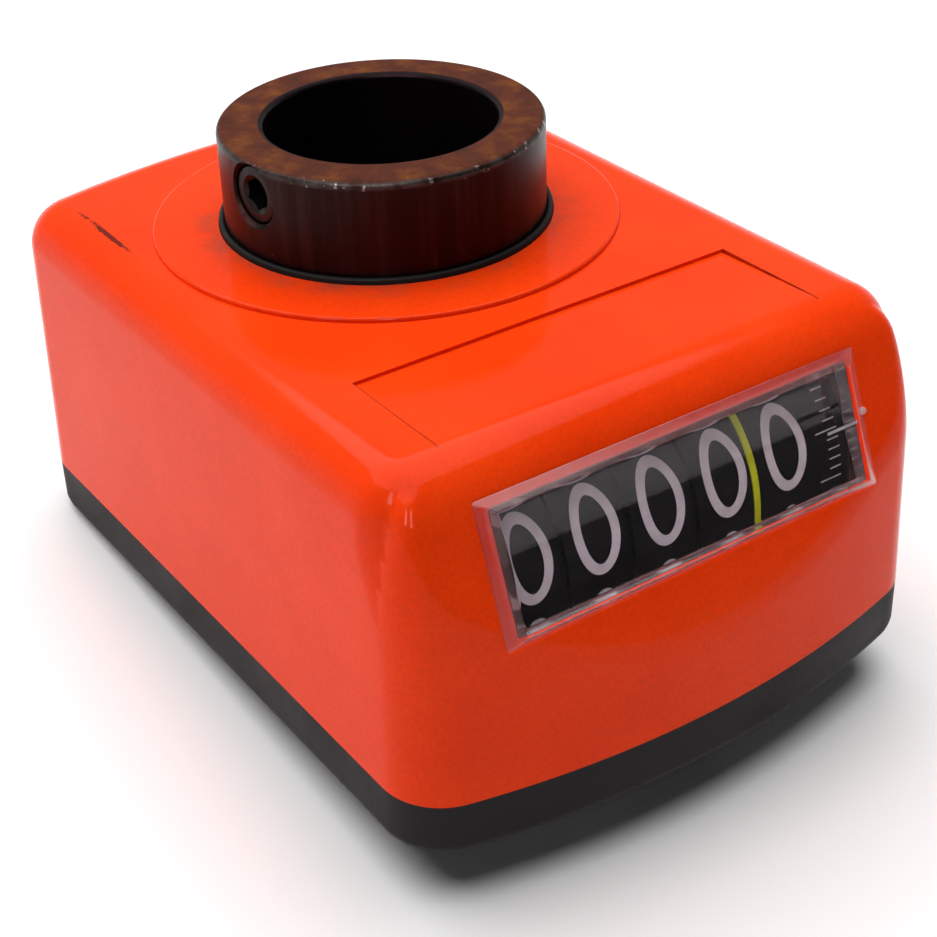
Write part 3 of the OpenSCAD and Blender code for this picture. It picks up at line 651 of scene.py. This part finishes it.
def makeBase():
    b = base
    piece = cadCopy("base_plate", "basePlate", blackBase)
    points = meshPoints(piece)
    gap, normalX, normalY = planGap(points[:, 0], points[:, 1])
    down = np.clip(1 - points[:, 2] / b.round, 0, 1)
    out = np.sqrt(1 - down ** 2)
    exact = np.stack([normalX * out, normalY * out, -down], 1)
    dress(piece, exact, np.abs(gap + b.round * (1 - out)) < b.onWall, b.agree)
    settle(piece, "housing_group", "base_plastic", "base_plate")


makeBase()
print("base made")


# Window: bevelled block with a plug in the opening and a lens towards the wheels

window = Sizes(
    halfWidth=18.2, halfHeight=5.75, rise=1.0, plugHalf=16.8, plugLow=-4.9, plugHigh=4.6, lift=0.02,
    lensRadius=18.0, lensCentre=15.5, lensSteps=28, edge=0.13, satinFrom=-0.3, satinTo=0.97, lineFrom=13.37,
    lineTo=16.53, lineAt=0.11, lineHalf=0.11, lineDepth=0.04, lineProud=0.01, gateX=17.3, gateY=0.52,
    gateZ=0.32, gateRadius=0.3, gateLength=0.78, gateRound=0.2,
)


def makeWindow():
    w = window
    points = []
    for half, low, high, z in ((w.halfWidth, -w.halfHeight, w.halfHeight, w.lift),
                               (w.plugHalf, w.plugLow, w.plugHigh, w.rise),
                               (w.plugHalf, w.plugLow, w.plugHigh, w.lift)):
        points += [(-half, low, z), (half, low, z), (half, high, z), (-half, high, z)]
    faces = [(4, 5, 6, 7)]
    for k in range(4):
        after = (k + 1) % 4
        faces.append((k, after, 4 + after, 4 + k))
        faces.append((k, 8 + k, 8 + after, after))
    left = []
    right = []
    for k in range(w.lensSteps + 1):
        y = w.plugLow + (w.plugHigh - w.plugLow) * k / w.lensSteps
        z = w.lensCentre - math.sqrt(w.lensRadius ** 2 - y * y)
        left.append(len(points))
        points.append((-w.plugHalf, y, z))
        right.append(len(points))
        points.append((w.plugHalf, y, z))
    for k in range(w.lensSteps):
        faces.append((left[k], left[k + 1], right[k + 1], right[k]))
    faces.append((8, left[0], right[0], 9))
    faces.append((11, 10, right[-1], left[-1]))
    faces.append([8, 11] + left[::-1])
    faces.append([10, 9] + right)
    piece = outward(newPiece("windowBlock", points, faces, acrylic))
    # the bevels and the plug's sides are satin, the flat front and the lens are clear
    piece.data.materials.append(acrylicSatin)
    for face in piece.data.polygons:
        face.material_index = int(w.satinFrom < face.normal.z < w.satinTo)
    piece.data.transform(windowFrame)
    weighted(smooth(rounded(piece, w.edge, 30), 40))
    piece.visible_shadow = False  # clear plastic lets the light through to the wheels
    return settle(piece, "housing_group", "window_plastic", "window")


def makeIndexLine():
    w = window
    low = w.lineAt - w.lineHalf
    high = w.lineAt + w.lineHalf
    deep = w.rise - w.lineDepth
    proud = w.rise + w.lineProud
    outline = [(low, deep), (high, deep), (high, proud), (low, proud)]
    piece = prism("indexLine", outline, w.lineFrom, w.lineTo, scalePaint)
    piece.data.transform(windowFrame)
    settle(piece, "housing_group", "window_plastic")


def makeGateMark():  # stub of the moulding gate on the right-hand edge
    w = window
    outline = softened([(0, 0, 0), (w.gateRadius, 0, 0), (w.gateRadius, w.gateLength, w.gateRound),
                        (0, w.gateLength, 0)], 4)
    piece = lathe("gateMark", outline, acrylicWhite, 32)
    place = Matrix.Translation(Vector((w.gateX, w.gateY, w.gateZ)) * mm)
    piece.data.transform(windowFrame @ place @ Matrix.Rotation(math.pi / 2, 4, "Y"))
    settle(smooth(piece, 40), "housing_group", "window_plastic")


windowBlock = makeWindow()
makeIndexLine()
makeGateMark()
print("window:", len(windowBlock.data.polygons), "faces")


# Collar, set screw and seal

collar = Sizes(
    bore=10.0, shaft=12.0, outer=14.0, top=40.2, shoulder=24.65, grooveLow=0.5, grooveHigh=1.24,
    groove=11.3, outerRound=0.55, innerRound=0.5, edge=0.2, screwTurn=187.0, screwZ=37.25, screwRadius=2.5,
    screwFrom=10.15, screwTo=13.5, screwPoint=0.6, screwRound=0.3, holeRadius=2.55, holeFlare=0.28,
    holeTo=13.55, flareTo=13.9, holeOut=15.0, keyFlats=2.5, keyDepth=2.0, keyOver=1.0, mouthTip=1.0,
    mouthIn=0.2, mouthDeep=0.3, mouthOut=0.55, mouthOver=0.25, sealInner=14.05, sealOuter=14.55,
    sealLow=29.7, sealHigh=32.0, sealRound=0.2, sealEdge=0.1,
)


def acrossCollar(piece):  # from the Z axis to the set screw's direction
    c = collar
    turn = Matrix.Rotation(math.radians(c.screwTurn), 4, "Z") @ Matrix.Rotation(math.pi / 2, 4, "Y")
    piece.data.transform(Matrix.Translation((0, 0, c.screwZ * mm)) @ turn)
    return piece


def makeCollar():
    c = collar
    outline = softened([
        (c.bore, 0, c.edge), (c.shaft, 0, c.edge), (c.shaft, c.grooveLow, 0), (c.groove, c.grooveLow, 0),
        (c.groove, c.grooveHigh, 0), (c.shaft, c.grooveHigh, 0), (c.shaft, c.shoulder, 0),
        (c.outer, c.shoulder, c.edge), (c.outer, c.top, c.outerRound), (c.bore, c.top, c.innerRound)])
    piece = lathe("collarShaft", outline, steelBrown, 256)
    hole = lathe("hole", [
        (0, 0), (c.holeRadius, 0), (c.holeRadius, c.holeTo), (c.holeRadius + c.holeFlare, c.flareTo),
        (c.holeRadius + 2 * c.holeFlare, c.holeOut), (0, c.holeOut)], None, 64)
    carve(piece, [("DIFFERENCE", acrossCollar(hole))])
    settle(weighted(smooth(piece, 30)), "shaft", "burnished_steel", "hollow_shaft")


def makeSetScrew():
    c = collar
    radius = c.screwRadius
    end = c.screwTo
    outline = softened([(0, c.screwFrom, 0), (radius - c.screwPoint, c.screwFrom, 0),
                        (radius, c.screwFrom + c.screwPoint, 0), (radius, end, c.screwRound), (0, end, 0)], 3)
    piece = lathe("setScrew", outline, blackOxide, 64)
    corner = c.keyFlats / 2 / math.cos(math.pi / 6)
    key = drum(corner, end - c.keyDepth, end + c.keyOver, segments=6)
    mouth = lathe("mouth", [(0, end - c.mouthTip), (corner - c.mouthIn, end - c.mouthDeep),
                            (corner + c.mouthOut, end + c.mouthOver), (0, end + c.mouthOver)], None, 48)
    acrossCollar(carve(piece, [("DIFFERENCE", key), ("DIFFERENCE", mouth)]))
    settle(weighted(smooth(piece, 30)), "shaft", "black_steel", "set_screw")


def makeSeal():
    c = collar
    outline = softened([
        (c.sealInner, c.sealLow, c.sealEdge), (c.sealOuter, c.sealLow, c.sealEdge),
        (c.sealOuter, c.sealHigh, c.sealRound), (c.sealInner, c.sealHigh, c.sealRound)], 4)
    piece = lathe("sealRing", outline, rubber, 192)
    settle(smooth(piece, 40), "housing_group", "seal_rubber", "shaft_seal")


makeCollar()
makeSetScrew()
makeSeal()
print("collar, set screw and seal made")


# Number wheels: the solids' own shapes, with printed figures and a fine scale

wheels = Sizes(
    bodies=["units", "tens", "hundreds", "thousands", "ten_thousands"], pitch=6.2, shift=-1.4, radius=12.25,
    axisY=-26.8, axisZ=16.4, zeroAt=25.0, digitTurn=36.0, digitWidth=4.12, digitHeight=6.7, restHeight=0.94,
    narrow=0.86, stroke=0.78, ink=0.014, sunk=0.02, fineStep=0.25, mitre=0.45, tickCount=100, tickEnd=16.4,
    tickShort=1.15, tickLong=2.2, tickWidth=0.11, tickHeight=0.03,
)


def arc(cx, cy, rx, ry, start, end, steps=28):
    sweep = [math.radians(start + (end - start) * k / steps) for k in range(steps + 1)]
    return [(cx + rx * math.cos(t), cy + ry * math.sin(t)) for t in sweep]


def figureStrokes(digit):  # centre lines of a plain figure; closed ones end where they start
    w = wheels
    a = (w.digitWidth - w.stroke) / 2
    b = (w.digitHeight - w.stroke) / 2 * (w.restHeight if digit else 1)  # the zero is the tallest
    s = w.narrow * a
    figures = [
        [arc(0, 0, a, b, 90, 450, 64)],
        [[(-0.75 * a, 0.55 * b), (0.1 * a, b), (0.1 * a, -b)]],
        [arc(0, b - a, a, a, 165, -35) + [(-a, -b), (a, -b)]],
        [arc(0, 0.52 * b, s, 0.48 * b, 150, -90) + arc(0, -0.48 * b, a, 0.52 * b, 90, -150)],
        [[(0.45 * a, -b), (0.45 * a, b), (-a, -0.35 * b), (a, -0.35 * b)]],
        [[(0.85 * a, b), (-0.7 * a, b), (-0.85 * a, 0.12 * b)]
         + arc(-0.05 * a, -0.36 * b, a, 0.64 * b, 120, -140)],
        [arc(0, -0.38 * b, a, 0.62 * b, 180, 540, 48), arc(0.15 * a, -0.38 * b, 1.15 * a, 1.38 * b, 180, 80)],
        [[(-a, b), (a, b), (-0.3 * a, -b)]],
        [arc(0, 0.53 * b, s, 0.47 * b, 90, 450, 44), arc(0, -0.47 * b, a, 0.53 * b, 90, 450, 44)],
        [arc(0, 0.38 * b, a, 0.62 * b, 0, 360, 48), arc(-0.15 * a, 0.38 * b, 1.15 * a, 1.38 * b, 0, -100)],
    ]
    return figures[digit]


def fineLine(line):  # points close enough to follow the wheel's round
    fine = []
    for a, b in zip(line, line[1:]):
        count = max(1, math.ceil(math.dist(a, b) / wheels.fineStep))
        fine += [(a[0] + (b[0] - a[0]) * k / count, a[1] + (b[1] - a[1]) * k / count) for k in range(count)]
    return fine + [line[-1]]


def ribbonSides(line, half):  # left and right edge of a stroke
    closed = math.dist(line[0], line[-1]) < 1e-6
    middle = [Vector(p) for p in (line[:-1] if closed else line)]
    count = len(middle)
    left = []
    right = []
    for k, here in enumerate(middle):
        back = middle[k - 1] if closed or k else here
        ahead = middle[(k + 1) % count] if closed or k < count - 1 else here
        into = (here - back).normalized() if here != back else (ahead - here).normalized()
        out = (ahead - here).normalized() if ahead != here else into
        mean = (into + out).normalized()
        side = Vector((-mean.y, mean.x)) * (half / max(wheels.mitre, mean.dot(out)))
        left.append(here + side)
        right.append(here - side)
    return left, right, closed


def makeFigures(place, body):
    w = wheels
    centreX = (len(w.bodies) // 2 - place) * w.pitch + w.shift
    outer = w.radius + w.ink
    inner = w.radius - w.sunk
    points = []
    faces = []
    for digit in range(10):
        turn = math.radians(w.zeroAt + w.digitTurn * digit)
        for line in figureStrokes(digit):
            left, right, closed = ribbonSides(fineLine(line), w.stroke / 2)
            first = len(points)
            for a, b in zip(left, right):
                for p, r in ((a, outer), (b, outer), (b, inner), (a, inner)):
                    lift = turn + p.y / w.radius
                    points.append((centreX + p.x, w.axisY - r * math.cos(lift), w.axisZ + r * math.sin(lift)))
            count = len(left)
            for k in range(count if closed else count - 1):
                here = first + 4 * k
                there = first + 4 * ((k + 1) % count)
                for e in range(4):
                    faces.append((here + e, here + (e + 1) % 4, there + (e + 1) % 4, there + e))
            if not closed:
                faces.append((first, first + 3, first + 2, first + 1))
                last = first + 4 * (count - 1)
                faces.append((last, last + 1, last + 2, last + 3))
    piece = outward(newPiece(body + "Figures", points, faces, paleInk))
    settle(smooth(piece, 30), body, "wheel_plastic")


def scaleTree():
    # one mark for each hundredth of a turn, every fifth one long
    tree, add, given = newTree("fineScale", {
        "Float": ["Radius", "Start", "Short", "Long", "Width", "Height", "End"],
        "Int": ["Count"], "Vector": ["Axis"], "Material": ["Paint"]})
    marks = add("GeometryNodePoints", {"Count": given["Count"]})
    index = add("GeometryNodeInputIndex")
    share = add("Math", [index, given["Count"]], "DIVIDE")
    turn = add("Math", [share, 2 * math.pi, given["Start"]], "MULTIPLY_ADD")
    fifth = add("Math", [index, 5.0], "MODULO")
    isLong = add("Math", [fifth, 0.5], "LESS_THAN")
    length = add("Mix", {0: isLong, 2: given["Short"], 3: given["Long"]})
    x = add("Math", [length, -0.5, given["End"]], "MULTIPLY_ADD")
    cosine = add("Math", [turn], "COSINE")
    sine = add("Math", [turn], "SINE")
    inward = add("Math", [given["Radius"], -1.0], "MULTIPLY")
    y = add("Math", [cosine, inward], "MULTIPLY")
    z = add("Math", [sine, given["Radius"]], "MULTIPLY")
    local = add("CombineXYZ", [x, y, z])
    spot = add("VectorMath", [local, given["Axis"]], "ADD")
    placed = add("GeometryNodeSetPosition", {"Geometry": marks, "Position": spot})
    size = add("CombineXYZ", [length, given["Height"], given["Width"]])
    back = add("Math", [turn, -1.0], "MULTIPLY")
    lean = add("CombineXYZ", [back])
    rotation = add("FunctionNodeEulerToRotation", [lean])
    bar = add("GeometryNodeMeshCube", {"Size": (1, 1, 1)})
    copies = add("GeometryNodeInstanceOnPoints", {
        "Points": placed, "Instance": bar, "Rotation": rotation, "Scale": size})
    closeTree(add, copies, given["Paint"])
    return tree


def makeScale():
    w = wheels
    piece = newPiece("fineScale", [(0, 0, 0)], [], scalePaint)
    values = {name: w["tick" + name] * mm for name in ("Short", "Long", "Width", "Height", "End")}
    values |= {"Count": w.tickCount, "Radius": w.radius * mm, "Start": math.radians(w.zeroAt),
               "Axis": (0, w.axisY * mm, w.axisZ * mm), "Paint": scalePaint}
    bake(runTree(piece, scaleTree(), values))
    settle(piece, "units", "wheel_plastic")


for place, body in enumerate(wheels.bodies):
    rim = cadCopy(body + "_wheel", body + "Wheel", wheelAbs)
    settle(rim, body, "wheel_plastic", body + "_wheel")
    makeFigures(place, body)
makeScale()
for k in range(1, len(wheels.bodies)):
    disc = cadCopy(f"pinion_carrier_{k}", f"carrier{k}", markerAbs if k == 1 else wheelAbs)
    settle(disc, "housing_group", "marker_plastic" if k == 1 else "wheel_plastic", f"pinion_carrier_{k}")
print("wheels and figures made")


# Screws under the base, and the torque pin

screws = Sizes(
    headRadius=2.0, headHeight=1.3, sunk=0.15, shank=1.1, recessLength=2.3, recessWidth=0.6,
    recessDepth=0.85, edge=0.12, seed=4,
)


def screwTree():
    # pan head with a cross recess, one at each point, each driven to its own angle
    tree, add, given = newTree("crossScrews", {
        "Float": ["Head Radius", "Head Height", "Sunk", "Shank Radius", "Top"],
        "Vector": ["Recess"], "Int": ["Seed"], "Material": ["Plating"]})
    # the shank starts half way up the head, so that the two overlap
    halfHead = add("Math", [given["Head Height"], 0.5, given["Sunk"]], "MULTIPLY_ADD")
    length = add("Math", [given["Top"], halfHead], "SUBTRACT")
    halfShank = add("Math", [length, 0.5, halfHead], "MULTIPLY_ADD")
    cut = add("GeometryNodeMeshBoolean", operation="UNION", solver="MANIFOLD")
    for sides, radius, depth, middle in ((48, given["Head Radius"], given["Head Height"], halfHead),
                                         (32, given["Shank Radius"], length, halfShank)):
        rod = add("GeometryNodeMeshCylinder", {"Vertices": sides, "Radius": radius, "Depth": depth})
        centre = add("CombineXYZ", {2: middle})
        raised = add("GeometryNodeTransform", {"Geometry": rod, "Translation": centre})
        tree.links.new(raised.outputs[0], cut.inputs[1])
    bar = add("GeometryNodeMeshCube", {"Size": given["Recess"]})
    low = add("CombineXYZ", {2: given["Sunk"]})
    for turn in (0, math.pi / 2):
        arm = add("GeometryNodeTransform", {"Geometry": bar, "Translation": low, "Rotation": (0, 0, turn)})
        cut = add("GeometryNodeMeshBoolean", [cut, arm], "DIFFERENCE", solver="MANIFOLD")
    angle = add("FunctionNodeRandomValue", {"Seed": given["Seed"]}, data_type="FLOAT")
    spin = add("Math", [angle, 2 * math.pi], "MULTIPLY")
    lean = add("CombineXYZ", {2: spin})
    rotation = add("FunctionNodeEulerToRotation", [lean])
    copies = add("GeometryNodeInstanceOnPoints", {
        "Points": given["Geometry"], "Instance": cut, "Rotation": rotation})
    closeTree(add, copies, given["Plating"])
    return tree


def makeScrews(name, node, places, tree):
    s = screws
    piece = newPiece(name, [(x, y, 0) for x, y in places], [], zincSteel)
    values = {"Head Radius": s.headRadius * mm, "Head Height": s.headHeight * mm, "Sunk": s.sunk * mm,
              "Shank Radius": s.shank * mm, "Top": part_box(node)[1].z, "Seed": s.seed, "Plating": zincSteel,
              "Recess": (s.recessLength * mm, s.recessWidth * mm, 2 * s.recessDepth * mm)}
    smooth(rounded(runTree(piece, tree, values), s.edge, 50), 40)
    return settle(piece, "housing_group", "screw_steel", node)


screwGroup = screwTree()
low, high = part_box("frame_screws")
frameX = high.x / mm - screws.headRadius
frameY = (low.y + high.y) / 2 / mm
baseScrews = makeScrews("baseScrews", "base_screws", housing.posts, screwGroup)
frameScrews = makeScrews("frameScrews", "frame_screws", [(-frameX, frameY), (frameX, frameY)], screwGroup)
settle(cadCopy("torque_pin", "torquePin", turnedSteel), "housing_group", "pin_steel", "torque_pin")
print("screws:", len(baseScrews.data.polygons) + len(frameScrews.data.polygons), "faces")


# Solids that keep their shape get their own finish

slotFinish = {"black_steel": blackOxide, "bush_bronze": bronze, "gear_plastic": acetal,
              "bright_steel": groundSteel, "frame_plastic": darkAbs}
for part in frame["record"]["subparts"]:
    solid = nodes[part["node"]]
    if solid.hide_render:
        continue
    finishFor = slotFinish[part["material_slot"]]
    if not solid.material_slots:
        solid.data.materials.append(finishFor)
    for slot in solid.material_slots:
        slot.material = finishFor
print("solids dressed")


# Floor, light and camera

stage = Sizes(
    pinY=-27.5, pinZ=-4.0, rearY=26.5, floorHalf=1600.0, floorDrop=0.02, fadeFrom=220.0, fadeTo=520.0,
    keyPower=38.5, keySize=2200.0, keyPlace=(-20.0, 310.0, 1400.0), stripPower=1.5, stripWidth=70.0,
    stripHeight=380.0, stripPlaces=[(-500.0, -260.0, 420.0), (-320.0, -480.0, 420.0)], dim=0.06,
    sweepWay=(0.1, 0.99, 0.0), sweepFrom=-0.6, sweepTo=0.1, sweepLow=0.15, sweepHigh=0.42, paperLow=0.6,
    paperHigh=0.8, paperTone=0.45,
)
view = Sizes(
    place=(-77.331, -127.008, 98.961), forward=(0.46899, 0.70125, -0.53694),
    right=(0.81964, -0.57203, -0.03116), lens=71.115, sensor=36.0, clip=5.0,
)


def makeFloor():
    # the part leans on its torque pin and on the rear edge of its base
    s = stage
    lean = math.atan2(-s.pinZ, s.rearY - s.pinY)
    half = s.floorHalf
    material, add, place = newMaterial("paleCard")  # white card: matt, very slightly warm
    tone = add("TexNoise", {"Vector": place, "Scale": perMetre(60), "Detail": 3})
    colour = layered(add, linear("#fbf8f9"), [(tone, "#fefdfd")])
    card = add("BsdfPrincipled", {"Base Color": colour, "Roughness": 0.9, "Specular IOR Level": 0.1})
    # far from the part the camera sees plain white, so the floor has no edge in other views
    far = add("MapRange", [fromAxis(add, place), s.fadeFrom * mm, s.fadeTo * mm])
    seen = add("LightPath").outputs["Is Camera Ray"]
    share = add("Math", [far, seen], "MULTIPLY")
    white = add("Emission", {"Color": linear("#ffffff")})
    mixed = add("MixShader", [share, card, white])
    add("OutputMaterial", {"Surface": mixed})
    corners = [(-half, -half, 0), (half, -half, 0), (half, half, 0), (-half, half, 0)]
    piece = newPiece("floor", corners, [(0, 1, 2, 3)], material)
    ground = Matrix.Translation((0, s.rearY * mm, -s.floorDrop * mm))
    piece.data.transform(ground @ Matrix.Rotation(lean, 4, "X"))


def addLight(name, shape, place, size, power):
    light = bpy.data.lights.new(name, "AREA")
    light.shape = shape
    light.size = size[0] * mm
    light.size_y = size[-1] * mm
    light.energy = power
    lamp = newObject(name, light)
    lamp.location = Vector(place) * mm
    lamp.rotation_euler = (-Vector(place)).to_track_quat("-Z", "Y").to_euler()
    return lamp


def makeWorld():
    # a white paper sweep behind the part and a dim room elsewhere; past the floor the camera sees plain white
    s = stage
    world = bpy.data.worlds.new("studio")
    scene.world = world
    world.use_nodes = True
    world.node_tree.nodes.clear()
    add = partial(addNode, world.node_tree)
    way = add("TexCoord").outputs["Generated"]
    height = add("SeparateXYZ", [way]).outputs["Z"]
    low = add("MapRange", [height, s.sweepLow, s.sweepHigh, 1.0, s.dim])
    facing = add("VectorMath", [way, s.sweepWay], "DOT_PRODUCT")
    behind = add("MapRange", [facing, s.sweepFrom, s.sweepTo, s.dim, 1.0])
    sweep = add("Math", [low, behind], "MULTIPLY")
    # glossy surfaces see the paper up to its top edge
    ray = add("LightPath").outputs
    tall = add("MapRange", [height, s.paperLow, s.paperHigh, s.paperTone, 0.0])
    paper = add("Math", [tall, behind], "MULTIPLY")
    mirrored = add("Math", [paper, ray["Is Glossy Ray"]], "MULTIPLY")
    lit = add("Math", [sweep, mirrored], "MAXIMUM")
    level = add("Math", [lit, ray["Is Camera Ray"]], "MAXIMUM")
    back = add("Background", {"Color": linear("#ffffff"), "Strength": level})
    add("OutputWorld", {"Surface": back})


def makeCamera():
    v = view
    forward = Vector(v.forward)
    right = Vector(v.right)
    right = (right - forward * right.dot(forward) / forward.length_squared).normalized()
    up = right.cross(forward).normalized()
    data = bpy.data.cameras.new("view")
    data.lens = v.lens
    data.sensor_width = v.sensor
    data.clip_start = v.clip * mm
    camera = newObject("view", data)
    aim = Matrix((right, up, -forward.normalized())).transposed().to_4x4()
    camera.matrix_world = Matrix.Translation(Vector(v.place) * mm) @ aim
    scene.camera = camera


makeFloor()
addLight("key", "DISK", stage.keyPlace, [stage.keySize], stage.keyPower)
for place in stage.stripPlaces:
    strip = addLight("strip", "RECTANGLE", place, [stage.stripWidth, stage.stripHeight], stage.stripPower)
    strip.visible_diffuse = False  # seen in glossy edges only
    strip.visible_transmission = False
makeWorld()
makeCamera()
scene.view_settings.view_transform = "Standard"
print("stage set")
